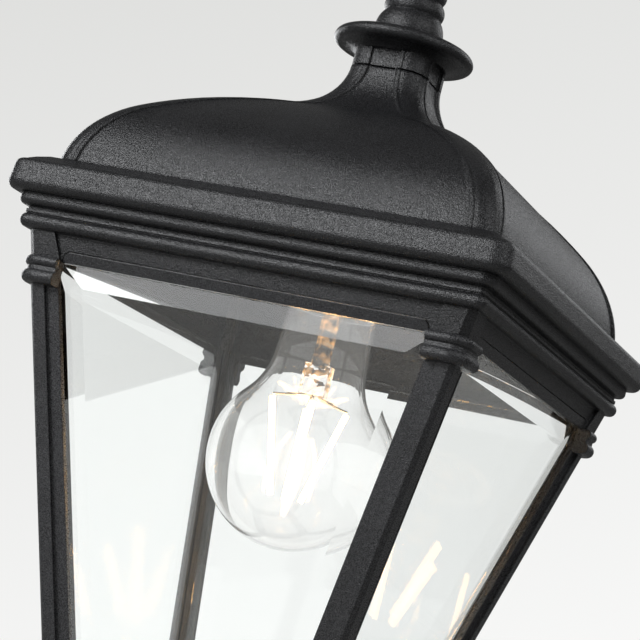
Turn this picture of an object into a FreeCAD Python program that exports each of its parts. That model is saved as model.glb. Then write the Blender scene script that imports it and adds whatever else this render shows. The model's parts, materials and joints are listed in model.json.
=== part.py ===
import FreeCAD, Part
import math
import os
import re
import Sketcher
from FreeCAD import Matrix, Placement, Rotation, Vector

# Four-sided tapered hanging lantern. The origin is the centre of the hanging eye, +Z is up,
# and every level below is measured downwards from that eye. Millimetres throughout.
sizes = {
    # hanging eye
    "eye_outer_radius": 14.5, "eye_hole_radius": 9, "eye_thick": 7, "eye_round": 2, "eye_ease": 1,
    "eye_drop": 20, "eye_foot_radius": 8.2, "eye_waist_radius": 5.4, "foot_edge_height": 2,
    # threaded tube and its nut
    "tube_radius": 4.9, "tube_bore_radius": 3.2, "tube_play": 0.2, "tube_grip_length": 4,
    "tube_screwed_length": 7, "nut_flats_width": 15, "nut_height": 4.5, "washer_radius": 10,
    "washer_thick": 1.5,
    # turned stem
    "stem_height": 26, "stem_foot_radius": 10.7, "stem_waist_radius": 9.9, "stem_neck_radius": 8.9,
    "stem_base_ring_height": 10.5, "stem_ring_height": 6,
    # top cap: round flange on a banded square collar
    "flange_radius": 24.8, "flange_thick": 4.4, "flange_round": 2.1, "cove_reach": 6.6, "cove_height": 2,
    "collar_height": 8.2,
    # crown round the foot of the roof: its half-width drives the widths of the roof, frame and cage
    "crown_half": 87.4, "crown_height": 13.6, "crown_lean": 0.6, "crown_round": 2.8, "crown_corner": 6.5,
    "crown_slope_height": 3.2,
    # ogee roof
    "roof_in": 9.8, "roof_height": 65, "shoulder_in": 14, "shoulder_rise": 25.7, "shoulder_round": 38,
    "sweep_out": 15.9, "sweep_drop": 21.4, "sweep_round": 104.4, "neck_half": 14.4, "neck_round": 22.65,
    "band_leg": 7.6, "band_depth": 0.4, "ridge_width": 1.5, "panel_depth": 0.8, "roof_wall": 3,
    "seam_gap": 0.5, "seam_depth": 0.9,
    # moulded top frame
    "frame_height": 19, "moulding_in": 8.8, "band_in": 4.3, "band_flat": 1.9, "band_round": 1.8,
    "recess_in": 7.8, "fillet_in": 7.2, "fillet_height": 1, "groove_height": 0.3, "bead_in": 7.6,
    "bead_height": 4.6, "bead_lean": 0.6, "frieze_height": 8.1, "frieze_wall": 2, "ledge_in": 21.4,
    "ledge_thick": 3.2, "bracket_proud": 1.3, "bracket_leg": 12, "bracket_top_leg": 8.6, "bracket_arris": 2.4,
    # posts and their capitals
    "post_in": 10.8, "cage_height": 150, "post_leg": 10.4, "post_bar": 5.8, "post_step": 1.4,
    "post_flange": 2.2, "post_arris": 1.4, "post_gusset": 7.5, "tenon_size": 3.8, "tenon_play": 0.3,
    "capital_height": 8.8, "capital_leg": 12.2, "capital_corner": 5, "capital_proud": 0.9,
    "upper_ring_height": 3.2, "lower_ring_height": 4.2,
    # glass and the bars over its top edge
    "glass_thick": 3, "bevel_width": 9.6, "bevel_depth": 1.2, "pane_play": 0.2, "pane_edge": 8.2,
    "pane_lap": 2, "bar_end_gap": 0.4, "bar_rise": 2.9, "bar_drop": 0.6, "bar_thick": 2.1,
    "bar_round": 2.6, "bar_gap": 0.3,
    # base frame, open below: its half-width drives the feet of the posts
    "base_half": 45, "base_height": 16, "base_open_half": 32, "lip_height": 2.4, "lip_wall": 2,
    "lip_play": 0.9, "base_band_height": 5.5, "base_recess": 1.2, "base_bead_height": 5,
    # lampholder
    "holder_drop": 42, "holder_height": 42, "holder_radius": 19, "holder_boss_radius": 9.5,
    "holder_skirt_height": 27, "holder_taper_height": 9, "socket_radius": 14.7, "socket_depth": 26,
    "shell_wall": 0.6, "shell_play": 0.3, "shell_length": 21, "contact_radius": 4, "contact_thick": 1.7,
    "wire_hole_radius": 2.6,
    # bulb
    "bulb_radius": 30, "bulb_drop": 53.4, "bulb_angle": 42, "bulb_neck_radius": 16, "bulb_wall": 0.9,
    "bulb_taper_height": 10, "bulb_taper_in": 1, "cap_radius": 13.2, "cap_wall": 0.5, "cap_length": 20.5,
    "cap_overlap": 1.5, "cap_cone_height": 3.4, "tip_radius": 4.6, "tip_height": 1.6, "tip_rim": 0.8,
    "neck_tuck_length": 7, "stem_tube_radius": 3.1, "stem_length": 19, "press_width": 9.5,
    "press_depth": 4.5, "press_height": 10, "filament_radius": 1, "filament_length": 32.5,
    "filament_top_radius": 13, "filament_low_radius": 5.2, "filament_bearing": 27, "wire_radius": 0.35,
    "wire_lift": 3,
    # screws
    "screw_radius": 1.25, "screw_play": 0.2, "head_radius": 2.4, "head_height": 2, "head_socket_radius": 1.3,
    "socket_sink": 1.2, "pocket_radius": 2.9, "pocket_floor_height": 8, "roof_screw_in": 6.3,
    "roof_screw_bite": 2.8, "base_screw_in": 3, "base_screw_bite": 5, "base_plate_thick": 8,
}

# Half-widths that follow from the two driving widths
derived = {
    "roof_half": "crown_half - roof_in",
    "crown_centre": "crown_half - crown_corner",
    "moulding_centre": "crown_half - moulding_in",
    "band_half": "crown_half - band_in",
    "recess_half": "crown_half - recess_in",
    "fillet_half": "crown_half - fillet_in",
    "bead_half": "crown_half - bead_in",
    "ledge_half": "crown_half - ledge_in",
    "post_top_half": "crown_half - post_in",
    "bar_half": "crown_half - post_in - capital_leg - bar_end_gap",
    "roof_screw_half": "crown_half - roof_screw_in",
    "post_low_half": "base_half - lip_wall - lip_play",
}

doc = FreeCAD.newDocument("HangingLantern")
sheet = doc.addObject("Spreadsheet::Sheet", "dims")
cells = {alias: str(size) for alias, size in sizes.items()}
cells.update({alias: f"={formula}" for alias, formula in derived.items()})
for row, (alias, content) in enumerate(cells.items(), start=1):
    sheet.set(f"A{row}", alias)
    sheet.setAlias(f"B{row}", alias)
    sheet.set(f"B{row}", content)
doc.recompute()

# Levels, worked out downwards from the eye
stem_top = "(-eye_drop)"
flange_top = f"({stem_top} - stem_height)"
flange_low = f"({flange_top} - flange_thick)"
seam = f"({flange_low} - collar_height)"
neck_top = f"({seam} - seam_gap)"
roof_base = f"({seam} - roof_height)"
crown_low = f"({roof_base} - crown_height)"
ledge_low = f"({crown_low} - ledge_thick)"
cage_top = f"({crown_low} - frame_height)"
capital_low = f"({cage_top} - capital_height)"
base_top = f"({cage_top} - cage_height)"
base_low = f"({base_top} - base_height)"
holder_top = f"({seam} - holder_drop)"
mouth = f"({holder_top} - holder_height)"
globe = f"({mouth} - bulb_drop)"

# The sides lean inwards by the same amount from the frieze down to the base
lean = "((post_top_half - post_low_half) / cage_height)"


def face_half(level, set_in="0"):
    """Half-width of the leaning side at a level, less a set-back."""
    return f"(post_top_half + {lean} * ({level} - {cage_top}) - ({set_in}))"


def number(expression):
    """Value of an expression written with the sheet's aliases."""
    return float(sheet.evalExpression(expression))


def bound(expression):
    """The same expression as the document's other objects read it."""
    return re.sub(r"[a-z_]+", lambda word: f"dims.{word[0]}" if word[0] in cells else word[0], expression)


def arc_between(start, end, radius, turn):
    """Arc of a radius from start to end, anticlockwise where turn is 1 and clockwise where it is -1."""
    chord = end - start
    rise = math.sqrt(max(radius ** 2 - chord.Length ** 2 / 4, 0))
    side = Vector(-chord.y, chord.x, 0).normalize() * rise * turn
    centre = (start + end) / 2 + side
    first, last = (start, end) if turn > 0 else (end, start)
    angles = [math.atan2(spot.y - centre.y, spot.x - centre.x) for spot in (first, last)]
    return Part.ArcOfCircle(Part.Circle(centre, Vector(0, 0, 1), radius), *angles)


def draw(sketch, points, closed=True):
    """Outline in which a point is (x, y), or (x, y, radius, turn) where an arc leads to it."""
    spots = [Vector(number(point[0]), number(point[1]), 0) for point in points]
    first = 0 if closed else 1
    starts = []
    ends = []
    for index in range(first, len(points)):
        turn = points[index][3] if len(points[index]) > 2 else 1
        if len(points[index]) > 2:
            radius = number(points[index][2])
            edge = arc_between(spots[index - 1], spots[index], radius, turn)
        else:
            edge = Part.LineSegment(spots[index - 1], spots[index])
        near, far = (1, 2) if turn > 0 else (2, 1)
        starts.append((len(ends), near))
        ends.append((len(starts) - 1, far))
        sketch.addGeometry(edge)
    for end, start in zip(ends, starts[1:] + starts[:first == 0]):
        sketch.addConstraint(Sketcher.Constraint("Coincident", *end, *start))
    held = ends if closed else starts[:1] + ends
    for (edge, spot), point in zip(held, points):
        for axis, expression, line in (("DistanceX", point[0], -2), ("DistanceY", point[1], -1)):
            if expression == "0":
                sketch.addConstraint(Sketcher.Constraint("PointOnObject", edge, spot, line))
                continue
            reach = Sketcher.Constraint(axis, -1, 1, edge, spot, number(expression))
            sketch.setExpression(f"Constraints[{sketch.addConstraint(reach)}]", bound(expression))
        if len(point) > 2:
            curve = sketch.addConstraint(Sketcher.Constraint("Radius", edge, number(point[2])))
            sketch.setExpression(f"Constraints[{curve}]", bound(point[2]))


def new_body(label):
    body = doc.addObject("PartDesign::Body", label)
    body.Label = label
    return body


def new_sketch(body, role, points, level=None, closed=True):
    """Sketch on one of the body's own planes, raised along the plane's normal where a level is given."""
    sketch = body.newObject("Sketcher::SketchObject", f"{body.Name}_sketch")
    plane = next(feature for feature in body.Origin.OriginFeatures if feature.Role == role)
    sketch.AttachmentSupport = [(plane, "")]
    sketch.MapMode = "FlatFace"
    if level:
        sketch.setExpression("AttachmentOffset.Base.z", bound(level))
    draw(sketch, points, closed)
    return sketch


def revolve(body, points, role="XZ_Plane"):
    """Solid of revolution about the sketch's upright axis, from an outline of radius and level."""
    sketch = new_sketch(body, role, points)
    feature = body.newObject("PartDesign::Revolution", f"{body.Name}_turned")
    feature.Profile = sketch
    feature.ReferenceAxis = (sketch, ["V_Axis"])
    feature.Angle = 360


def pad(body, points, level, length):
    """Upright pad on a plan outline."""
    sketch = new_sketch(body, "XY_Plane", points, level)
    feature = body.newObject("PartDesign::Pad", f"{body.Name}_pad")
    feature.Profile = sketch
    feature.setExpression("Length", bound(length))


def loft(body, lower, lower_level, upper, upper_level):
    """Straight-sided loft between two plan outlines."""
    first = new_sketch(body, "XY_Plane", lower, lower_level)
    last = new_sketch(body, "XY_Plane", upper, upper_level)
    feature = body.newObject("PartDesign::AdditiveLoft", f"{body.Name}_loft")
    feature.Profile = first
    feature.Sections = [last]
    feature.Ruled = True


def turned(label, points):
    body = new_body(label)
    revolve(body, points)
    return body


def fourfold(corner):
    """Outline of one corner repeated at each quarter turn."""
    outline = []
    for quarter in range(4):
        outline += corner
        corner = [(f"-({point[1]})", *point[:1], *point[2:]) for point in corner]
    return outline


def square(half):
    return fourfold([(half, half)])


def banded_square(half):
    """Square with rounded corner bands, a ridge on both sides of each, and panels set back between them."""
    edge = f"({half} - band_leg)"
    ridge = f"({edge} - ridge_width)"
    face = f"({half} - panel_depth)"
    band = f"({half} - band_depth)"
    return fourfold([
        (face, ridge), (half, ridge), (half, edge), (band, edge),
        (edge, band, "band_leg - band_depth", 1), (edge, half), (ridge, half), (ridge, face),
    ])


def joined(kind, name, *shapes):
    """Fuse or Common of several shapes."""
    feature = doc.addObject(f"Part::Multi{kind}", name)
    feature.Shapes = list(shapes)
    feature.Refine = True
    return feature


def less(name, base, tool):
    feature = doc.addObject("Part::Cut", name)
    feature.Base = base
    feature.Tool = tool
    feature.Refine = True
    return feature


def cylinder(name, radius, low, height, x="0", y="0"):
    feature = doc.addObject("Part::Cylinder", name)
    feature.setExpression("Radius", bound(radius))
    feature.setExpression("Height", bound(height))
    feature.setExpression("Placement.Base.x", bound(x))
    feature.setExpression("Placement.Base.y", bound(y))
    feature.setExpression("Placement.Base.z", bound(low))
    return feature


def prism(name, points, low, height):
    """Upright solid on a plan outline."""
    sketch = doc.addObject("Sketcher::SketchObject", f"{name}_plan")
    draw(sketch, points)
    sketch.setExpression("Placement.Base.z", bound(low))
    solid = doc.addObject("Part::Extrusion", name)
    solid.Base = sketch
    solid.DirMode = "Normal"
    solid.Solid = True
    solid.setExpression("LengthFwd", bound(height))
    return solid


# Sketch planes that look along Y and along X, each with Z upwards
looks = {"front": Rotation(Vector(1, 0, 0), 90), "side": Rotation(Vector(1, 1, 1), 120)}


def mirrored(half):
    """Whole outline from its right-hand half, given from the bottom upwards."""
    outline = list(half)
    curve = ()
    for point in reversed(half):
        outline.append((f"-({point[0]})", point[1], *curve))
        curve = point[2:]
    return outline


def slab(name, look, half):
    """Solid as wide as a symmetrical profile and longer than the lantern."""
    sketch = doc.addObject("Sketcher::SketchObject", f"{name}_{look}_profile")
    sketch.Placement = Placement(Vector(), looks[look])
    draw(sketch, mirrored(half))
    solid = doc.addObject("Part::Extrusion", f"{name}_{look}")
    solid.Base = sketch
    solid.DirMode = "Normal"
    solid.Solid = True
    solid.Symmetric = True
    solid.setExpression("LengthFwd", bound("4 * crown_half"))
    return solid


def mitred(name, half, *more):
    """Four-sided solid: one profile carried along X and along Y, meeting in mitres."""
    return joined("Common", name, slab(name, "front", half), slab(name, "side", half), *more)


def rolled(name, outer, centre, axis_top, inner=()):
    """Four-sided solid whose outer profile turns each corner about an upright axis at a half-width."""
    low = outer[0][1]
    reach = "(4 * crown_half)"
    arms = []
    for word, across, along in (("long", reach, centre), ("deep", centre, reach)):
        plan = [(across, f"-{along}"), (across, along), (f"-{across}", along), (f"-{across}", f"-{along}")]
        arms.append(prism(f"{name}_{word}_arm", plan, low, f"{roof_base} - {low}"))
    cross = joined("Fuse", f"{name}_cross", *arms)
    sides = mitred(f"{name}_sides", [*outer, (centre, axis_top), *inner], cross)
    sketch = doc.addObject("Sketcher::SketchObject", f"{name}_corner_profile")
    sketch.Placement = Placement(Vector(), looks["front"])
    around = [(f"{point[0]} - {centre}", *point[1:]) for point in outer]
    draw(sketch, [*around, ("0", axis_top), ("0", low)])
    quarter = doc.addObject("Part::Revolution", f"{name}_quarter")
    quarter.Source = sketch
    quarter.Axis = Vector(0, 0, 1)
    quarter.Angle = 90
    quarter.Solid = True
    turns = quarter_turns(quarter, [f"{name}_corner_{turn}" for turn in range(4)])
    for corner, (across, along) in zip(turns, (("", ""), ("-", ""), ("-", "-"), ("", "-"))):
        corner.setExpression("Placement.Base.x", bound(f"{across}{centre}"))
        corner.setExpression("Placement.Base.y", bound(f"{along}{centre}"))
    return joined("Fuse", name, sides, *turns)


def quarter_turns(source, labels):
    """Copies of one solid at each quarter turn about the lantern's axis."""
    copies = []
    for quarter, label in enumerate(labels):
        copy = doc.addObject("Part::Compound", label)
        copy.Label = label
        copy.Links = [source]
        copy.Placement = Placement(Vector(), Rotation(Vector(0, 0, 1), 90 * quarter))
        copies.append(copy)
    return copies


parts = []

# Hanging loop: a cast eye on a round foot, bored for the threaded tube
loop = new_body("hanging_loop")
half_thick = "(eye_thick / 2)"
revolve(loop, [
    ("eye_hole_radius", f"eye_ease - {half_thick}"),
    ("eye_hole_radius + eye_ease", f"-{half_thick}", "eye_ease", 1),
    ("eye_outer_radius - eye_round", f"-{half_thick}"),
    ("eye_outer_radius", f"eye_round - {half_thick}", "eye_round", 1),
    ("eye_outer_radius", f"{half_thick} - eye_round"),
    ("eye_outer_radius - eye_round", half_thick, "eye_round", 1),
    ("eye_hole_radius + eye_ease", half_thick),
    ("eye_hole_radius", f"{half_thick} - eye_ease", "eye_ease", 1),
], "XY_Plane")
tube_hole = "(tube_radius + tube_play)"
hole_top = f"({stem_top} + tube_grip_length + tube_play)"
revolve(loop, [
    (tube_hole, stem_top),
    ("eye_foot_radius", stem_top),
    ("eye_foot_radius", f"{stem_top} + foot_edge_height"),
    ("eye_waist_radius", "-(eye_hole_radius + eye_outer_radius) / 2", "eye_foot_radius", -1),
    ("0", "-(eye_hole_radius + eye_outer_radius) / 2"),
    ("0", hole_top),
    (tube_hole, hole_top),
])
parts.append(loop)

# Turned stem: one tall ring, two small rings and a plain top
ring_low = f"({flange_top} + stem_base_ring_height)"
parts.append(turned("turned_stem", [
    (tube_hole, flange_top),
    ("stem_foot_radius", flange_top),
    ("stem_waist_radius", ring_low, "0.84 * stem_base_ring_height", 1),
    ("stem_neck_radius", f"{ring_low} + stem_ring_height", "0.72 * stem_ring_height", 1),
    ("stem_neck_radius", f"{ring_low} + 2 * stem_ring_height", "0.72 * stem_ring_height", 1),
    ("stem_neck_radius", stem_top),
    (tube_hole, stem_top),
]))

# Threaded tube: carries the lampholder from the hanging loop, with the leads inside it
tube_low = f"({holder_top} - tube_screwed_length + tube_play)"
tube_top = f"({stem_top} + tube_grip_length)"
parts.append(turned("threaded_tube", [
    ("tube_bore_radius", tube_low),
    ("tube_radius", tube_low),
    ("tube_radius", tube_top),
    ("tube_bore_radius", tube_top),
]))

# Top cap: round flange with a coved underside on a banded square collar
cove_low = f"({flange_low} - cove_height)"
flange = turned("cap_flange", [
    (tube_hole, cove_low),
    ("flange_radius - cove_reach - cove_height", cove_low),
    ("flange_radius - flange_round", flange_low, "cove_reach + cove_height", -1),
    ("flange_radius", f"{flange_low} + flange_round", "flange_round", 1),
    ("flange_radius - flange_round", flange_top, "flange_thick - flange_round + 0.2", 1),
    (tube_hole, flange_top),
])
collar = prism("cap_collar", banded_square("neck_half"), seam, "collar_height + flange_thick / 2")
cap_block = joined("Fuse", "cap_block", flange, collar)
cap_hole = cylinder("cap_hole", tube_hole, f"{seam} - 1", "collar_height + flange_thick + 2")
parts.append(less("top_cap", cap_block, cap_hole))


def dome(set_in="0", drop="0", foot=roof_base):
    """Ogee half profile of the roof, moved in and down."""
    return [
        (f"roof_half - {set_in}", f"{foot} - 2"),
        (f"roof_half - {set_in}", f"{roof_base} - {drop}"),
        (f"roof_half - shoulder_in - {set_in}", f"{roof_base} + shoulder_rise - {drop}", "shoulder_round", 1),
        (f"neck_half + sweep_out - {set_in}", f"{seam} - sweep_drop - {drop}", "sweep_round", 1),
        (f"neck_half - {set_in}", f"{neck_top} - {drop}", "neck_round", -1),
    ]


def turned_slab(name, profile, bearing, set_back):
    """Slab turned to a bearing, whose faces are set back from the sharp corners of a profiled block."""
    spread = math.cos(math.radians(bearing)) + math.sin(math.radians(abs(bearing)))
    widen = Matrix()
    widen.A11 = spread
    widen.A14 = -set_back(spread)
    flank = [edge for edge in profile.Shape.Edges if min(vertex.X for vertex in edge.Vertexes) > 0]
    right = [edge.transformGeometry(widen).Edges[0] for edge in flank]
    left = [edge.mirror(Vector(), Vector(1, 0, 0)).Edges[0] for edge in right]
    spots = sorted((vertex.Point for edge in right for vertex in edge.Vertexes), key=lambda spot: spot.z)
    across = [Part.makeLine(spot, Vector(-spot.x, spot.y, spot.z)) for spot in (spots[0], spots[-1])]
    reach = 4 * number("crown_half")
    block = Part.Face(Part.Wire(Part.__sortEdges__(right + left + across))).extrude(Vector(0, reach, 0))
    block.translate(Vector(0, -reach / 2, 0))
    solid = doc.addObject("Part::Feature", name)
    solid.Shape = block.rotated(Vector(), Vector(0, 0, 1), bearing)
    return solid


def cornered(name, half, bearings, set_back):
    """Profiled four-sided block with faces cut across its corners at several bearings."""
    front = slab(name, "front", half)
    side = slab(name, "side", half)
    doc.recompute()
    cuts = []
    for turn, bearing in enumerate(bearings):
        cuts.append(turned_slab(f"{name}_cut_{turn}", front.Base, bearing, set_back))
    return joined("Common", name, front, side, *cuts)


def octagonal(name, half, leg):
    """Profiled four-sided block whose corners are cut back at 45 degrees."""
    return cornered(name, half, (45, -45), lambda spread: number(leg) / math.sqrt(2))


def eased(name, half, radius):
    """Profiled four-sided block whose corners are rounded off in three faces."""
    bearings = (22.5, 45, 67.5, -22.5, -45, -67.5)
    return cornered(name, half, bearings, lambda spread: number(radius) * (spread - 1))


# Roof: an ogee dome with ridged corner bands, and the crown moulding round its foot, in one casting
dome_block = eased("dome_block", dome("band_depth"), "band_leg - band_depth")
dome_core = mitred("dome_core", dome("panel_depth"), dome_block)
between = {look: slab("dome_between", look, dome("band_leg")) for look in looks}
panels = {look: slab("dome_panel", look, dome("(band_leg + ridge_width)")) for look in looks}
dome_bands = less("dome_bands", dome_block, joined("Fuse", "dome_between", *between.values()))
ridges = []
for look, other in (("front", "side"), ("side", "front")):
    strip = joined("Common", f"ridge_strip_{look}", slab("ridge_face", look, dome()), between[other])
    ridges.append(less(f"ridges_{look}", strip, panels[other]))
slope_top = f"({roof_base} - crown_slope_height)"
slope_out = "(crown_half - crown_lean - 0.8 * crown_round)"
slope_fall = f"(crown_slope_height * (crown_centre - roof_half) / ({slope_out} - roof_half))"
crown = rolled("crown", [
    ("crown_half - crown_round", crown_low),
    ("crown_half", f"{crown_low} + crown_round", "crown_round", 1),
    ("crown_half - crown_lean", f"{slope_top} - 0.7 * crown_round"),
    (slope_out, slope_top, "0.9 * crown_round", 1),
], "crown_centre", f"({roof_base} - {slope_fall})", [("roof_half", roof_base)])
spigot = prism("spigot", banded_square("(neck_half - seam_depth)"), f"{neck_top} - 1", "seam_gap + 1")
roof_solid = joined("Fuse", "roof_solid", dome_core, dome_bands, *ridges, crown, spigot)
roof_hollow = octagonal("roof_hollow", dome("roof_wall", "roof_wall", crown_low), "band_leg")
roof_holes = [roof_hollow, cylinder("roof_hole", tube_hole, f"{neck_top} - 2 * roof_wall", "4 * roof_wall")]
for side, sign in (("right", ""), ("left", "-")):
    roof_holes.append(cylinder(f"pocket_{side}", "pocket_radius", f"{crown_low} + pocket_floor_height",
                               "crown_height", f"{sign}roof_screw_half"))
    roof_holes.append(cylinder(f"pocket_hole_{side}", "screw_radius + screw_play", f"{crown_low} - 1",
                               "crown_height", f"{sign}roof_screw_half"))
roof = less("roof", roof_solid, joined("Fuse", "roof_holes", *roof_holes))
parts.append(roof)

# Top frame: moulded ring with a leaning frieze, a bracket at each corner and a window for each bar
bead_low = f"({cage_top} + frieze_height)"
bead_top = f"({bead_low} + bead_height)"
fillet_low = f"({bead_top} + groove_height)"
fillet_top = f"({fillet_low} + fillet_height)"
band_low = f"({crown_low} - band_flat - band_round)"
frieze = mitred("frieze", [
    (face_half(cage_top, "bracket_proud"), cage_top),
    (face_half(bead_low, "bracket_proud"), bead_low),
    (face_half(bead_low, "bracket_proud"), f"{bead_low} + 1"),
])
moulding = rolled("moulding", [
    ("bead_half - bead_lean", bead_low),
    ("bead_half", bead_top, "0.52 * bead_height", 1),
    ("bead_half", fillet_low),
    ("fillet_half", fillet_low),
    ("fillet_half", fillet_top),
    ("recess_half", fillet_top),
    ("recess_half", f"{band_low} - groove_height"),
    ("band_half - band_round", band_low),
    ("band_half", f"{crown_low} - band_flat", "band_round", 1),
    ("band_half", crown_low),
], "moulding_centre", crown_low)
corner_outline = [(face_half(cage_top), cage_top), (face_half(bead_low), bead_low)]
corner_block = octagonal("corner_block", corner_outline, "bracket_arris")
spread = "((bracket_leg - bracket_top_leg) / frieze_height)"
between_brackets = [slab("between_brackets", look, [
    (f"post_top_half - bracket_leg - {spread}", f"{cage_top} - 1"),
    (f"post_top_half - bracket_top_leg + {spread}", f"{bead_low} + 1"),
]) for look in looks]
brackets = less("brackets", corner_block, joined("Fuse", "between_brackets", *between_brackets))
inner_wall = "bracket_proud + frieze_wall"
frame_hollow = mitred("frame_hollow", [
    (face_half(f"{cage_top} - 1", inner_wall), f"{cage_top} - 1"),
    (face_half(bead_low, inner_wall), bead_low),
    (face_half(bead_low, inner_wall), ledge_low),
])
window_half = "(bar_half + bar_gap)"
window_top = f"({cage_top} + bar_rise + bar_gap)"
windows = [slab("window", look, [
    (window_half, f"{cage_top} - 1"),
    (window_half, f"{window_top} - bar_round - bar_gap"),
    (f"{window_half} - bar_round - bar_gap", window_top, "bar_round + bar_gap", 1),
]) for look in looks]
ledge_opening = prism("ledge_opening", square("ledge_half"), f"{ledge_low} - 1", "ledge_thick + 2")
frame_holes = [frame_hollow, *windows, ledge_opening]
for side, sign in (("right", ""), ("left", "-")):
    hole_low = f"{crown_low} - roof_screw_bite - screw_play"
    frame_holes.append(cylinder(f"frame_hole_{side}", "screw_radius + screw_play", hole_low, "frame_height",
                                f"{sign}roof_screw_half"))
frame_solid = joined("Fuse", "frame_solid", moulding, frieze, brackets)
parts.append(less("top_frame", frame_solid, joined("Fuse", "frame_holes", *frame_holes)))

# Glazing bars: a leaning strip in each window, over the top edge of the glass
bar_low = f"({cage_top} - bar_drop)"
bar_top = f"({cage_top} + bar_rise)"
strip = doc.addObject("Sketcher::SketchObject", "bar_section")
strip.Placement = Placement(Vector(), looks["side"])
draw(strip, [
    (f"-{face_half(bar_low, 'bracket_proud')}", bar_low),
    (f"-{face_half(bar_low, 'bracket_proud + bar_thick')}", bar_low),
    (f"-{face_half(bar_top, 'bracket_proud + bar_thick')}", bar_top),
    (f"-{face_half(bar_top, 'bracket_proud')}", bar_top),
])
bar_strip = doc.addObject("Part::Extrusion", "bar_strip")
bar_strip.Base = strip
bar_strip.DirMode = "Normal"
bar_strip.Solid = True
bar_strip.Symmetric = True
bar_strip.setExpression("LengthFwd", bound("2 * bar_half + 2"))
bar_outline = slab("bar_outline", "front", [
    ("bar_half", f"{bar_low} - 1"),
    ("bar_half", f"{bar_top} - bar_round"),
    ("bar_half - bar_round", bar_top, "bar_round", 1),
])
glazing_bar = joined("Common", "glazing_bar", bar_strip, bar_outline)
parts += quarter_turns(glazing_bar, [f"glazing_bar_{side}" for side in ("front", "right", "back", "left")])


def post_section(half):
    """Plan of a corner post: glazing flanges set back behind a raised corner bar, and a gusset inside."""
    return [
        (half, f"{half} - post_bar"),
        (half, f"{half} - post_arris"),
        (f"{half} - post_arris", half),
        (f"{half} - post_bar", half),
        (f"{half} - post_bar", f"{half} - post_step"),
        (f"{half} - post_leg", f"{half} - post_step"),
        (f"{half} - post_leg", f"{half} - post_step - post_flange"),
        (f"{half} - post_gusset", f"{half} - post_step - post_flange"),
        (f"{half} - post_step - post_flange", f"{half} - post_gusset"),
        (f"{half} - post_step - post_flange", f"{half} - post_leg"),
        (f"{half} - post_step", f"{half} - post_leg"),
        (f"{half} - post_step", f"{half} - post_bar"),
    ]


# Corner posts: a leaning angle section with a ringed capital and a tenon up into the top frame
post = new_body("post")
loft(post, post_section("post_low_half"), base_top, post_section("post_top_half"), cage_top)
capital_start = "(post_top_half - capital_leg)"
capital_path = new_sketch(post, "XY_Plane", [
    (capital_start, "post_top_half"),
    ("post_top_half - capital_corner", "post_top_half"),
    ("post_top_half", "post_top_half - capital_corner", "capital_corner", -1),
    ("post_top_half", capital_start),
], cage_top, closed=False)
capital_profile = new_sketch(post, "YZ_Plane", [
    ("post_top_half - post_step - post_flange", capital_low),
    ("post_top_half", capital_low),
    ("post_top_half + capital_proud", f"{capital_low} + lower_ring_height", "0.53 * lower_ring_height", 1),
    ("post_top_half + capital_proud", f"{cage_top} - upper_ring_height"),
    ("post_top_half + capital_proud", cage_top, "0.53 * upper_ring_height", 1),
    ("post_top_half - post_step - post_flange", cage_top),
], capital_start)
capital = post.newObject("PartDesign::AdditivePipe", "capital")
capital.Profile = capital_profile
capital.Spine = (capital_path, ["Edge1", "Edge2", "Edge3"])
capital.Transition = "Transformed"
tenon_out = face_half(cage_top, "bracket_proud + frieze_wall + tenon_play")
pad(post, [
    (f"{tenon_out} - tenon_size", f"{tenon_out} - tenon_size"),
    (tenon_out, f"{tenon_out} - tenon_size"),
    (tenon_out, tenon_out),
    (f"{tenon_out} - tenon_size", tenon_out),
], capital_low, f"{ledge_low} - {capital_low}")
base_screw_at = "(post_low_half - base_screw_in)"
post_hole = cylinder("post_hole", "screw_radius + screw_play", f"{base_top} - 1",
                     "base_screw_bite + 1 + screw_play", base_screw_at, base_screw_at)
drilled_post = less("drilled_post", post, post_hole)
post_corners = ["back_right", "back_left", "front_left", "front_right"]
parts += quarter_turns(drilled_post, [f"post_{corner}" for corner in post_corners])

# Panes: clear sheets behind the flanges, bevelled all round on the outside
pane_set = "(post_step + post_flange + pane_play)"
pane_low = f"({base_top} + pane_play)"
pane_top = f"({cage_top} + pane_lap)"
pane_long = f"(({pane_top} - {pane_low}) * sqrt(1 + {lean} ^ 2))"
low_width = face_half(pane_low, "pane_edge")
top_width = face_half(pane_top, "pane_edge")
spread = f"(({top_width} - {low_width}) / {pane_long})"
inset = f"(bevel_width * sqrt(1 + {spread} ^ 2))"


def pane_outline(low, high, side):
    return mirrored([
        (f"{low_width} + {spread} * {low} - {side}", low),
        (f"{top_width} - {spread} * ({pane_long} - {high}) - {side}", high),
    ])


pane = new_body("pane")
outer_edge = pane_outline("0", pane_long, "0")
inner_edge = pane_outline("bevel_width", f"({pane_long} - bevel_width)", inset)
pad(pane, outer_edge, "0", "glass_thick - bevel_depth")
loft(pane, outer_edge, "glass_thick - bevel_depth", inner_edge, "glass_thick")
tilt = math.atan(number(lean))
pane.Placement = Placement(Vector(), Rotation(Vector(1, 0, 0), 90 + math.degrees(tilt)))
pane_foot = f"glass_thick * {math.cos(tilt)} - {face_half(pane_low, pane_set)}"
pane.setExpression("Placement.Base.y", bound(pane_foot))
pane.setExpression("Placement.Base.z", bound(f"{pane_low} + glass_thick * {math.sin(tilt)}"))
parts += quarter_turns(pane, [f"pane_{side}" for side in ("front", "right", "back", "left")])

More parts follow.
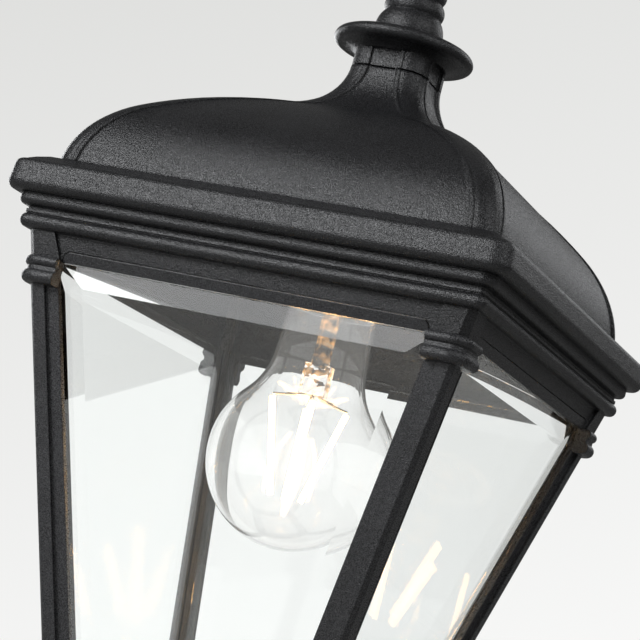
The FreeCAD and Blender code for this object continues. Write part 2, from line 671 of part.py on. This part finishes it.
# Bottom frame: a moulded square ring with a lip round the feet of the posts, open for the lamp
base_block = mitred("base_block", [
    ("base_half - base_recess", base_low),
    ("base_half - base_recess", f"{base_low} + base_bead_height", "0.54 * base_bead_height", 1),
    ("base_half - base_recess", f"{base_top} - base_band_height"),
    ("base_half", f"{base_top} - base_band_height"),
    ("base_half", f"{base_top} + lip_height"),
])
base_holes = [
    prism("base_opening", square("base_open_half"), f"{base_low} - 1", "base_height + lip_height + 2"),
    prism("base_seat", square("(base_half - lip_wall)"), base_top, "lip_height + 1"),
]
corners = {"back_right": ("", ""), "back_left": ("-", ""), "front_left": ("-", "-"), "front_right": ("", "-")}
for corner, (across, along) in corners.items():
    spot = (f"{across}{base_screw_at}", f"{along}{base_screw_at}")
    base_holes.append(cylinder(f"base_hole_{corner}", "screw_radius + screw_play", f"{base_low} - 1",
                               "base_height + 2", *spot))
    base_holes.append(cylinder(f"base_sink_{corner}", "head_radius + 2 * screw_play", f"{base_low} - 1",
                               "base_height - base_plate_thick + 1", *spot))
parts.append(less("bottom_frame", base_block, joined("Fuse", "base_holes", *base_holes)))


def screw(name, x, y, seat, up, grip):
    """Cap screw with a hexagon socket; its head stands above the seat where up is true, else below it."""
    head_low = seat if up else f"({seat} - head_height)"
    shank_low = f"({seat} - ({grip}))" if up else seat
    socket_low = f"{seat} + head_height - socket_sink" if up else f"{seat} - head_height - 1"
    head = cylinder(f"{name}_head", "head_radius", head_low, "head_height", x, y)
    shank = cylinder(f"{name}_shank", "screw_radius", shank_low, grip, x, y)
    key = doc.addObject("Part::Prism", f"{name}_socket")
    key.Polygon = 6
    key.setExpression("Circumradius", bound("head_socket_radius"))
    key.setExpression("Height", bound("socket_sink + 1"))
    key.setExpression("Placement.Base.x", bound(x))
    key.setExpression("Placement.Base.y", bound(y))
    key.setExpression("Placement.Base.z", bound(socket_low))
    return less(name, joined("Fuse", f"{name}_blank", head, shank), key)


def group(label, members):
    """One node of several separate solids."""
    node = doc.addObject("Part::Compound", label)
    node.Label = label
    node.Links = members
    return node


# Screws: two hold the roof to the top frame, four hold the posts to the bottom frame
pocket_floor = f"({crown_low} + pocket_floor_height)"
roof_grip = "pocket_floor_height + roof_screw_bite"
parts.append(group("roof_screws", [
    screw(f"roof_screw_{side}", f"{sign}roof_screw_half", "0", pocket_floor, True, roof_grip)
    for side, sign in (("right", ""), ("left", "-"))
]))
parts.append(group("base_screws", [
    screw(f"base_screw_{corner}", f"{across}{base_screw_at}", f"{along}{base_screw_at}",
          f"({base_top} - base_plate_thick)", False, "base_plate_thick + base_screw_bite")
    for corner, (across, along) in corners.items()
]))

# Washer and lock nut under the roof's neck
neck_low = f"({neck_top} - roof_wall)"
washer_low = f"({neck_low} - washer_thick)"
parts.append(turned("washer", [
    (tube_hole, washer_low),
    ("washer_radius", washer_low),
    ("washer_radius", neck_low),
    (tube_hole, neck_low),
]))
nut_blank = doc.addObject("Part::Prism", "nut_blank")
nut_blank.Polygon = 6
nut_blank.setExpression("Circumradius", bound("nut_flats_width / sqrt(3)"))
nut_blank.setExpression("Height", bound("nut_height"))
nut_blank.setExpression("Placement.Base.z", bound(f"{washer_low} - nut_height"))
nut_hole = cylinder("nut_hole", tube_hole, f"{washer_low} - nut_height - 1", "nut_height + 2")
parts.append(less("lock_nut", nut_blank, nut_hole))

# Lampholder: insulating body, screw shell and centre contact
socket_top = f"({mouth} + socket_depth)"
tube_seat = f"({holder_top} - tube_screwed_length)"
parts.append(turned("lampholder_body", [
    ("socket_radius", mouth),
    ("holder_radius", mouth),
    ("holder_radius", f"{mouth} + holder_skirt_height"),
    ("holder_boss_radius", f"{mouth} + holder_skirt_height + holder_taper_height"),
    ("holder_boss_radius", holder_top),
    (tube_hole, holder_top),
    (tube_hole, tube_seat),
    ("wire_hole_radius", tube_seat),
    ("wire_hole_radius", socket_top),
    ("socket_radius", socket_top),
]))
shell_out = "(socket_radius - shell_play)"
shell_top = f"({socket_top} - shell_play)"
parts.append(turned("lampholder_shell", [
    (f"{shell_out} - shell_wall", f"{shell_top} - shell_length"),
    (shell_out, f"{shell_top} - shell_length"),
    (shell_out, shell_top),
    (f"{shell_out} - shell_wall", shell_top),
]))
parts.append(turned("lampholder_contact", [
    ("0", f"{socket_top} - contact_thick"),
    ("contact_radius", f"{socket_top} - contact_thick"),
    ("contact_radius", socket_top),
    ("0", socket_top),
]))

# Bulb: globe and neck as one glass skin, with a screw cap, glass stem, filaments and wires
turn = "(bulb_angle * 1 deg)"
neck_curve = f"((bulb_radius * cos({turn}) - bulb_neck_radius) / (1 - cos({turn})))"
neck_level = f"({globe} + (bulb_radius + {neck_curve}) * sin({turn}))"
cap_low = f"({mouth} - cap_overlap)"
tuck = "(cap_radius - cap_wall - shell_play)"


def bulb_side(wall):
    """Half profile of the globe and neck, moved in by a wall."""
    return [
        ("0", f"{globe} - bulb_radius + {wall}"),
        (f"(bulb_radius - {wall}) * cos({turn})", f"{globe} + (bulb_radius - {wall}) * sin({turn})",
         f"bulb_radius - {wall}", 1),
        (f"bulb_neck_radius - {wall}", neck_level, f"{neck_curve} + {wall}", -1),
        (f"bulb_neck_radius - bulb_taper_in - {wall}", f"{neck_level} + bulb_taper_height"),
        (f"{tuck} - {wall}", f"{cap_low} - shell_play"),
        (f"{tuck} - {wall}", f"{cap_low} + neck_tuck_length"),
    ]


outside = bulb_side("0")
inside = []
curve = ()
for point in reversed(bulb_side("bulb_wall")):
    inside.append((point[0], point[1], *curve))
    curve = (point[2], -point[3]) if len(point) > 2 else ()
parts.append(turned("bulb_glass", outside + inside))
cap_top = f"({cap_low} + cap_length)"
parts.append(turned("bulb_cap", [
    ("cap_radius - cap_wall", cap_low),
    ("cap_radius", cap_low),
    ("cap_radius", cap_top),
    ("cap_radius - cap_wall", cap_top),
]))
cone_top = f"({cap_top} + cap_cone_height)"
parts.append(turned("bulb_insulator", [
    ("0", cap_top), ("cap_radius", cap_top), ("tip_radius + tip_rim", cone_top), ("0", cone_top),
]))
parts.append(turned("bulb_contact", [
    ("0", cone_top),
    ("tip_radius", cone_top),
    ("0.7 * tip_radius", f"{cone_top} + tip_height", "tip_height + 0.6", 1),
    ("0", f"{cone_top} + tip_height"),
]))
stem_low = f"({cap_low} - stem_length)"
press_low = f"({stem_low} - press_height)"
flare = f"({tuck} - bulb_wall - shell_play)"
stem_flare = f"({cap_low} + neck_tuck_length)"
bulb_stem = new_body("bulb_stem")
revolve(bulb_stem, [
    ("0", stem_low),
    ("stem_tube_radius", stem_low),
    ("stem_tube_radius", f"{stem_flare} - {flare}"),
    (flare, stem_flare, f"1.2 * {flare}", -1),
    ("0", stem_flare),
])
pad(bulb_stem, [
    ("press_width / 2", "-press_depth / 2"), ("press_width / 2", "press_depth / 2"),
    ("-press_width / 2", "press_depth / 2"), ("-press_width / 2", "-press_depth / 2"),
], press_low, "press_height + 1")
parts.append(bulb_stem)


def rod(name, radius, start, end):
    """Round rod between two spots, each given as radius from the axis, bearing and level."""
    spots = []
    for reach, bearing, level in (start, end):
        angle = math.radians(bearing)
        spots.append(Vector(number(reach) * math.cos(angle), number(reach) * math.sin(angle), number(level)))
    solid = doc.addObject("Part::Cylinder", name)
    solid.setExpression("Radius", bound(radius))
    solid.Height = (spots[1] - spots[0]).Length
    solid.Placement = Placement(spots[0], Rotation(Vector(0, 0, 1), spots[1] - spots[0]))
    return solid


filament_head = f"({press_low} - wire_lift)"
filament_foot = f"({filament_head} - filament_length)"
filaments = []
wires = []
for quarter in range(4):
    bearing = number("filament_bearing") + 90 * quarter
    foot = ("filament_low_radius", bearing, filament_foot)
    head = ("filament_top_radius", bearing, filament_head)
    filaments.append(rod(f"filament_{quarter}", "filament_radius", foot, head))
    inner_end = ("press_depth / 2", bearing, f"{press_low} - shell_play")
    outer_end = ("filament_top_radius", bearing, f"{filament_head} + 2 * shell_play + wire_radius")
    wires.append(rod(f"wire_{quarter}", "wire_radius", inner_end, outer_end))
parts.append(group("bulb_filaments", filaments))
parts.append(group("bulb_wires", wires))

doc.recompute()
for item in doc.Objects:
    if "Invalid" in item.State or "Error" in item.State:
        raise RuntimeError(f"{item.Label} did not recompute")
os.makedirs("parts", exist_ok=True)
for item in parts:
    if item.Shape.isNull() or not item.Shape.isValid():
        raise RuntimeError(f"{item.Label} has no valid shape")
    solids = item.Shape.Solids
    shape = solids[0] if len(solids) == 1 else item.Shape
    shape.exportStep(f"parts/{item.Label}.step")
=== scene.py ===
import json
import bpy
import numpy as np
from mathutils import Matrix, Vector


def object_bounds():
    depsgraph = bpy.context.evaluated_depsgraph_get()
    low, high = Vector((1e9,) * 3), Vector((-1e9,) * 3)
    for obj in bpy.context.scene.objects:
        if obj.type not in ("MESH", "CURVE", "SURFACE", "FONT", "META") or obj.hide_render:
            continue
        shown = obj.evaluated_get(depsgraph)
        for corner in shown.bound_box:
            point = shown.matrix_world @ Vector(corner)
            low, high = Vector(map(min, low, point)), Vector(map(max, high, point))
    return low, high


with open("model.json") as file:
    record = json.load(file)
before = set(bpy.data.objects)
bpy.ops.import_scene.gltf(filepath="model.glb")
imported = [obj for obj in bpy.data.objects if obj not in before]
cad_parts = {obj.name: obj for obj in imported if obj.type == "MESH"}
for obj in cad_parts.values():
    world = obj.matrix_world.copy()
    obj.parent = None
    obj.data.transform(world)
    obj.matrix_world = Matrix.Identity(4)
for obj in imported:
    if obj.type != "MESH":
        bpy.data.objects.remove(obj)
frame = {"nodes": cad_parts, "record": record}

nodes = frame["nodes"]
scene = bpy.context.scene
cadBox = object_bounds()
print("lantern frame loaded:", len(nodes), "nodes")

# camera, solved from the straight edges in the picture: low, a little to the right, rolled
eye = {"place": (0.3088, -0.7007, -0.2655), "lens": 127.93, "sensor": 36.0, "near": 0.01, "far": 50.0,
       "turn": (1.337649, 0.472182, -0.134649)}  # axis times angle; the rows are right, down, forward

def setCamera():
    turn = Vector(eye["turn"])
    rows = Matrix.Rotation(turn.length, 3, turn.normalized())
    right, down, forward = rows[0], rows[1], rows[2]
    pose = Matrix((right, -down, -forward)).transposed().to_4x4()
    pose.translation = Vector(eye["place"])
    lensData = bpy.data.cameras.new("lanternCamera")
    lensData.lens, lensData.sensor_width = eye["lens"], eye["sensor"]
    lensData.clip_start, lensData.clip_end = eye["near"], eye["far"]
    camera = bpy.data.objects.new("lanternCamera", lensData)
    camera.matrix_world = pose
    scene.collection.objects.link(camera)
    scene.camera = camera

setCamera()
scene.view_settings.view_transform = "Standard"
print("camera set")

# small helpers for node trees
def newMaterial(name):
    material = bpy.data.materials.new(name)
    material.use_nodes = True
    tree = material.node_tree
    tree.nodes.clear()
    out = tree.nodes.new("ShaderNodeOutputMaterial")
    return material, tree, out

def addNode(tree, kind, inputs=(), **props):
    node = tree.nodes.new(kind)
    for key, value in props.items():
        setattr(node, key, value)
    for key, value in dict(inputs).items():
        if isinstance(value, bpy.types.NodeSocket):
            tree.links.new(value, node.inputs[key])
        else:
            node.inputs[key].default_value = value
    return node

def addMath(tree, operation, *values, clamp=False):
    node = addNode(tree, "ShaderNodeMath", enumerate(values), operation=operation, use_clamp=clamp)
    return node.outputs[0]

def addNoise(tree, place, scale, detail, rough=0.5):
    inputs = {"Vector": place, "Scale": scale, "Detail": detail, "Roughness": rough}
    return addNode(tree, "ShaderNodeTexNoise", inputs).outputs["Fac"]

def addRamp(tree, factor, stops):
    ramp = addNode(tree, "ShaderNodeValToRGB", {"Fac": factor})
    elements = ramp.color_ramp.elements
    while len(elements) < len(stops):
        elements.new(0.5)
    for element, (spot, tone) in zip(elements, stops):
        element.position = spot
        element.color = (*tone, 1.0) if isinstance(tone, tuple) else (tone, tone, tone, 1.0)
    return ramp.outputs["Color"]

def addBump(tree, strength, depth, height, **more):
    inputs = {"Strength": strength, "Distance": depth, "Height": height, **more}
    return addNode(tree, "ShaderNodeBump", inputs).outputs["Normal"]

def addMix(tree, share, first, second):
    return addNode(tree, "ShaderNodeMixShader", {"Fac": share, 1: first, 2: second}).outputs[0]

def addPrincipled(tree, inputs):
    return addNode(tree, "ShaderNodeBsdfPrincipled", inputs).outputs[0]

def objectCoords(tree):
    return addNode(tree, "ShaderNodeTexCoord").outputs["Object"]

# black powder coat: a fine sand grain over a slow mottle, with softened arrises
coat = {"dark": (0.003, 0.003, 0.0033), "pale": (0.034, 0.034, 0.036), "tones": (0.36, 0.66),
        "grain": 3200.0, "grit": 2600.0, "cloud": 45.0, "mottle": (0.85, 1.15), "rough": (0.18, 0.36),
        "bump": 0.68, "depth": 0.00016, "gloss": 0.5, "postPaintedLight": 1.6}
arrises = {"castings": 0.0004, "roof": 0.0016, "posts": 0.0006, "bars": 0.0003, "screws": 0.0002}
# bars and screws carry a smoother coat
smooth = {"barBump": 0.15, "barRough": (0.18, 0.3), "screwBump": 0.2, "screwRough": (0.25, 0.4)}

def blackCoat(name, arris, bump=coat["bump"], rough=coat["rough"], lift=1.0):
    material, tree, out = newMaterial(name)
    place = objectCoords(tree)
    grain = addNoise(tree, place, coat["grain"], 2.0, 0.55)
    grit = addNode(tree, "ShaderNodeTexVoronoi", {"Vector": place, "Scale": coat["grit"]})
    cloud = addNoise(tree, place, coat["cloud"], 3.0)
    thin, thick = coat["mottle"]
    mottle = addNode(tree, "ShaderNodeMapRange", {"Value": cloud, "To Min": thin, "To Max": thick})
    blend = addMath(tree, "MULTIPLY", mottle.outputs["Result"], grain)
    # a lift above 1 paints the whole coat paler: painted light, used for the posts
    dark, pale = (tuple(channel * lift for channel in coat[key]) for key in ("dark", "pale"))
    tone = addRamp(tree, blend, tuple(zip(coat["tones"], (dark, pale))))
    sheen = addRamp(tree, grain, ((0.3, rough[0]), (0.7, rough[1])))
    edge = addNode(tree, "ShaderNodeBevel", {"Radius": arris}, samples=8).outputs["Normal"]
    height = addMath(tree, "SUBTRACT", grain, grit.outputs["Distance"])
    relief = addBump(tree, bump, coat["depth"], height, Normal=edge)
    skin = addPrincipled(tree, {"Base Color": tone, "Roughness": sheen, "Normal": relief,
                                "Specular IOR Level": coat["gloss"]})
    tree.links.new(skin, out.inputs["Surface"])
    return material

# clear glass: refracts, lets lamp light through as plain shadow, green only along the sheet; its emission,
# when set, is a faint warm painted glow
sheet = {"white": (1.0, 1.0, 1.0, 1.0), "index": 1.5, "ripple": 22.0, "wave": 0.02, "waveDepth": 0.001,
         "smear": 70.0, "paintedWarmTone": (1.0, 0.97, 0.92, 1.0), "shadow": (0.95, 0.96, 0.955, 1.0)}

def clearGlass(name, tint, density, rough, paintedGlow):
    material, tree, out = newMaterial(name)
    place = objectCoords(tree)
    wave = addBump(tree, sheet["wave"], sheet["waveDepth"], addNoise(tree, place, sheet["ripple"], 1.0))
    smear = addNoise(tree, place, sheet["smear"], 4.0)
    haze = addRamp(tree, smear, ((0.45, 0.0), (0.8, rough)))
    skin = addPrincipled(tree, {"Base Color": sheet["white"], "Roughness": haze, "IOR": sheet["index"],
                                "Transmission Weight": 1.0, "Normal": wave,
                                "Emission Color": sheet["paintedWarmTone"], "Emission Strength": paintedGlow})
    clear = addNode(tree, "ShaderNodeBsdfTransparent", {"Color": sheet["shadow"]}).outputs[0]
    path = addNode(tree, "ShaderNodeLightPath").outputs
    either = addMath(tree, "MAXIMUM", path["Is Shadow Ray"], path["Is Diffuse Ray"])
    tree.links.new(addMix(tree, either, skin, clear), out.inputs["Surface"])
    if density:
        body = addNode(tree, "ShaderNodeVolumeAbsorption", {"Color": (*tint, 1.0), "Density": density})
        tree.links.new(body.outputs[0], out.inputs["Volume"])
    return material

# plain metals and glazed ware, each with its own wear
wear = {"stain": 120.0, "lines": 400.0, "stretch": (1.0, 1.0, 0.1), "bump": 0.15, "depth": 0.0001,
        "cloud": 90.0, "glaze": 0.6}

def wornMetal(name, dark, pale, rough):
    material, tree, out = newMaterial(name)
    place = objectCoords(tree)
    stain = addNoise(tree, place, wear["stain"], 5.0)
    drawn = addNode(tree, "ShaderNodeMapping", {"Vector": place, "Scale": wear["stretch"]})
    lines = addNoise(tree, drawn.outputs["Vector"], wear["lines"], 2.0)
    tone = addRamp(tree, stain, ((0.35, dark), (0.65, pale)))
    gloss = addRamp(tree, lines, ((0.3, rough * 0.7), (0.7, rough * 1.3)))
    relief = addBump(tree, wear["bump"], wear["depth"], lines)
    skin = addPrincipled(tree, {"Base Color": tone, "Roughness": gloss, "Metallic": 1.0, "Normal": relief})
    tree.links.new(skin, out.inputs["Surface"])
    return material

def glazedWare(name, dark, pale, rough):
    material, tree, out = newMaterial(name)
    cloud = addNoise(tree, objectCoords(tree), wear["cloud"], 4.0)
    tone = addRamp(tree, cloud, ((0.35, dark), (0.65, pale)))
    gloss = addRamp(tree, cloud, ((0.3, rough * 0.7), (0.7, rough * 1.4)))
    skin = addPrincipled(tree, {"Base Color": tone, "Roughness": gloss, "Coat Weight": wear["glaze"]})
    tree.links.new(skin, out.inputs["Surface"])
    return material

# pinched glass stem: clear, with warm glints painted into its folds as emission, standing in for the
# filaments' light
stem = {"folds": 300.0, "bump": 0.4, "depth": 0.0012, "paintedGlint": 0.45, "haze": 0.05,
        "paintedWarmTone": (1.0, 0.5, 0.15), "bright": (1.0, 0.85, 0.6)}

def paintedGlintStem(name):
    material, tree, out = newMaterial(name)
    folds = addNoise(tree, objectCoords(tree), stem["folds"], 1.0)
    wave = addBump(tree, stem["bump"], stem["depth"], folds)
    # painted glints: warm and bright emission where the folds rise
    paintedGlint = addRamp(tree, folds, ((0.5, 0.0), (0.64, stem["paintedWarmTone"]), (0.76, stem["bright"])))
    haze = addRamp(tree, folds, ((0.3, 0.0), (0.8, stem["haze"])))
    skin = addPrincipled(tree, {"Base Color": sheet["white"], "Roughness": haze, "IOR": sheet["index"],
                                "Transmission Weight": 1.0, "Normal": wave,
                                "Emission Color": paintedGlint, "Emission Strength": stem["paintedGlint"]})
    tree.links.new(skin, out.inputs["Surface"])
    return material

# lit phosphor strip: bright, a little warmer in bands along its length
glow = {"core": (1.0, 0.62, 0.26), "edge": (1.0, 0.52, 0.16), "strength": 56.0, "bands": 180.0, "bend": 0.4}

def litPhosphor(name):
    material, tree, out = newMaterial(name)
    inputs = {"Vector": objectCoords(tree), "Scale": glow["bands"], "Distortion": glow["bend"]}
    bands = addNode(tree, "ShaderNodeTexWave", inputs, bands_direction="Z").outputs["Fac"]
    tone = addRamp(tree, bands, ((0.2, glow["edge"]), (0.8, glow["core"])))
    light = addNode(tree, "ShaderNodeEmission", {"Color": tone, "Strength": glow["strength"]})
    tree.links.new(light.outputs[0], out.inputs["Surface"])
    return material

# one finish per slot of the record; the roof, posts, bars and stem have their own; the posts' coat is a
# paler copy, painted light
finishes = {
    "black_casting": blackCoat("blackCastCoat", arrises["castings"]),
    "black_screws": blackCoat("blackScrewCoat", arrises["screws"],
                              smooth["screwBump"], smooth["screwRough"]),
    "clear_glass": clearGlass("paneGlass", (0.45, 0.86, 0.70), 9.0, 0.02, 0.0),
    # globe glass: its faint warm emission is a painted glow, the glass is no lamp
    "bulb_glass": clearGlass("globeGlass", (1.0, 1.0, 1.0), 0.0, 0.01, 0.025),
    "porcelain": glazedWare("porcelainGlaze", (0.74, 0.72, 0.67), (0.84, 0.82, 0.78), 0.25),
    "brass": wornMetal("socketBrass", (0.52, 0.36, 0.16), (0.74, 0.56, 0.28), 0.32),
    "plated_steel": wornMetal("zincSteel", (0.46, 0.46, 0.45), (0.62, 0.62, 0.6), 0.35),
    "plated_cap": wornMetal("nickelCap", (0.58, 0.57, 0.55), (0.74, 0.73, 0.71), 0.25),
    "cap_insulator": glazedWare("blackVitrite", (0.012, 0.012, 0.014), (0.03, 0.03, 0.034), 0.12),
    "filament": litPhosphor("litPhosphor"),
}
barCoat = blackCoat("blackBarCoat", arrises["bars"], smooth["barBump"], smooth["barRough"])
# the posts take a paler copy of the coat: painted light where they catch more lamp light
paintedLightPostCoat = blackCoat("blackPostCoatPaintedLit", arrises["posts"], lift=coat["postPaintedLight"])
special = {"roof": blackCoat("blackRoofCoat", arrises["roof"]), "bulb_stem": paintedGlintStem("stemGlass")}
special.update({name: barCoat for name in nodes if name.startswith("glazing_bar_")})
special.update({name: paintedLightPostCoat for name in nodes if name.startswith("post_")})
for part in frame["record"]["subparts"]:
    piece = nodes[part["node"]]
    piece.data.materials.clear()
    piece.data.materials.append(special.get(part["node"], finishes[part["material_slot"]]))
print("finishes set on the castings, glass and lamp")

# pale studio: floor under the lantern, one pale colour all round, five soft lamps
studio = {
    "pale": (0.745, 0.747, 0.735), "low": (0.935, 0.937, 0.93),  # backdrop above and below
    "fall": (0.29, 0.0, -0.58), "span": (-0.30, -0.10),  # way in which it gets paler, and where
    "ambient": 0.07, "dim": 0.14, "lift": 0.13,  # its share on dull paint, in mirrors, through glass
    "floor": (0.45, 0.45, 0.445), "mottle": (0.99, 1.01), "cloud": 3.0,  # floor as the lantern sees it
    "shown": (0.8, 0.8, 0.79, 1.0), "glow": 0.46,  # floor as the eye sees it: colour and lift
    "reach": 1.1, "solid": 0.35, "cells": 8, "drop": 0.0002,  # where it ends and starts to fade, its gap
}

def paleWorld():
    world = bpy.data.worlds.new("paleStudio")
    scene.world = world
    world.use_nodes = True
    tree = world.node_tree
    tree.nodes.clear()
    out = tree.nodes.new("ShaderNodeOutputWorld")
    path = addNode(tree, "ShaderNodeLightPath").outputs
    seen = addMath(tree, "MAXIMUM", path["Is Camera Ray"], path["Is Glossy Ray"])
    seenThrough = addMath(tree, "MAXIMUM", seen, path["Is Transmission Ray"])
    way = addNode(tree, "ShaderNodeTexCoord").outputs["Generated"]
    fall = addNode(tree, "ShaderNodeVectorMath", {0: way, 1: studio["fall"]}, operation="DOT_PRODUCT")
    start, end = studio["span"]
    limits = {"Value": fall.outputs["Value"], "From Min": start, "From Max": end}
    spread = addNode(tree, "ShaderNodeMapRange", limits)
    tone = addRamp(tree, spread.outputs["Result"], ((0.0, studio["pale"]), (1.0, studio["low"])))
    bounce = addMath(tree, "SUBTRACT", path["Is Glossy Ray"], path["Is Transmission Ray"], clamp=True)
    clear = addMath(tree, "MULTIPLY_ADD", path["Is Transmission Ray"], studio["lift"], 1.0)
    gloss = addMath(tree, "MULTIPLY_ADD", bounce, studio["dim"] - 1.0, clear)
    dull = {"Color": (*studio["pale"], 1.0), "Strength": studio["ambient"]}
    plain = addNode(tree, "ShaderNodeBackground", dull)
    shown = addNode(tree, "ShaderNodeBackground", {"Color": tone, "Strength": gloss})
    tree.links.new(addMix(tree, seenThrough, plain.outputs[0], shown.outputs[0]), out.inputs["Surface"])

# floor paint: dull towards the lantern, pale to the eye, clear beyond its reach and from below
def floorPaint():
    material, tree, out = newMaterial("paleFloorPaint")
    place = objectCoords(tree)
    low, high = (tuple(tone * share for tone in studio["floor"]) for share in studio["mottle"])
    tone = addRamp(tree, addNoise(tree, place, studio["cloud"], 2.0), ((0.3, low), (0.7, high)))
    dull = addNode(tree, "ShaderNodeBsdfDiffuse", {"Color": tone}).outputs[0]
    white = addNode(tree, "ShaderNodeBsdfDiffuse", {"Color": studio["shown"]}).outputs[0]
    lift = addNode(tree, "ShaderNodeEmission", {"Color": studio["shown"], "Strength": studio["glow"]})
    pale = addNode(tree, "ShaderNodeAddShader", {0: white, 1: lift.outputs[0]}).outputs[0]
    path = addNode(tree, "ShaderNodeLightPath").outputs
    seen = addMath(tree, "MAXIMUM", path["Is Camera Ray"], path["Is Transmission Ray"])
    away = addNode(tree, "ShaderNodeVectorMath", {0: place, 1: (1.0, 1.0, 0.0)}, operation="MULTIPLY")
    radius = addNode(tree, "ShaderNodeVectorMath", {0: away.outputs["Vector"]}, operation="LENGTH")
    limits = {"Value": radius.outputs["Value"], "From Min": studio["solid"], "From Max": studio["reach"]}
    fade = addNode(tree, "ShaderNodeMapRange", limits, interpolation_type="SMOOTHSTEP").outputs["Result"]
    under = addNode(tree, "ShaderNodeNewGeometry").outputs["Backfacing"]
    gone = addMath(tree, "MAXIMUM", fade, under)
    clear = addNode(tree, "ShaderNodeBsdfTransparent").outputs[0]
    tree.links.new(addMix(tree, gone, addMix(tree, seen, dull, pale), clear), out.inputs["Surface"])
    return material

def paleFloor():
    # flat square grid just under the lantern's base
    count = studio["cells"] + 1
    side = np.linspace(-studio["reach"], studio["reach"], count)
    x, y = np.meshgrid(side, side)
    spots = np.stack([x, y, np.full_like(x, cadBox[0].z - studio["drop"])], -1).reshape(-1, 3)
    index = np.arange(count * count).reshape(count, count)
    corners = [index[:-1, :-1], index[:-1, 1:], index[1:, 1:], index[1:, :-1]]
    faces = np.stack(corners, -1).reshape(-1, 4)
    mesh = bpy.data.meshes.new("paleFloor")
    mesh.from_pydata(spots.tolist(), [], faces.tolist())
    floor = bpy.data.objects.new("paleFloor", mesh)
    scene.collection.objects.link(floor)
    mesh.materials.append(floorPaint())

# each lamp: place, target, power in watts, width and height
lampTint = (0.965, 0.98, 1.0)
lamps = {
    "frontLeftSoft": ((-0.62, -1.12, 0.42), (0.0, 0.0, -0.05), 16.2, 0.9, 0.56),
    "lowSoft": ((-0.58, -1.22, -0.215), (0.0, 0.0, -0.165), 1.2, 0.5, 0.16),
    "highRightSoft": ((0.85, -0.32, 0.45), (0.0, 0.0, -0.1), 3.0, 0.5, 0.5),
    "backRightSoft": ((0.45, 1.25, 0.62), (0.0, 0.0, -0.1), 2.3, 0.8, 0.6),
    "backLeftSoft": ((-1.05, 0.95, 0.08), (0.0, 0.0, -0.1), 4.0, 0.8, 0.4),
}

def softLamps():
    for name, (place, target, power, width, height) in lamps.items():
        lampData = bpy.data.lights.new(name, "AREA")
        lampData.color, lampData.energy = lampTint, power
        lampData.shape, lampData.size, lampData.size_y = "RECTANGLE", width, height
        lamp = bpy.data.objects.new(name, lampData)
        lamp.location = place
        lamp.visible_transmission = False  # keeps the lamp's own shape out of the glass
        lamp.rotation_euler = (Vector(target) - Vector(place)).to_track_quat("-Z", "Y").to_euler()
        scene.collection.objects.link(lamp)

paleWorld()
paleFloor()
softLamps()
print("studio set")
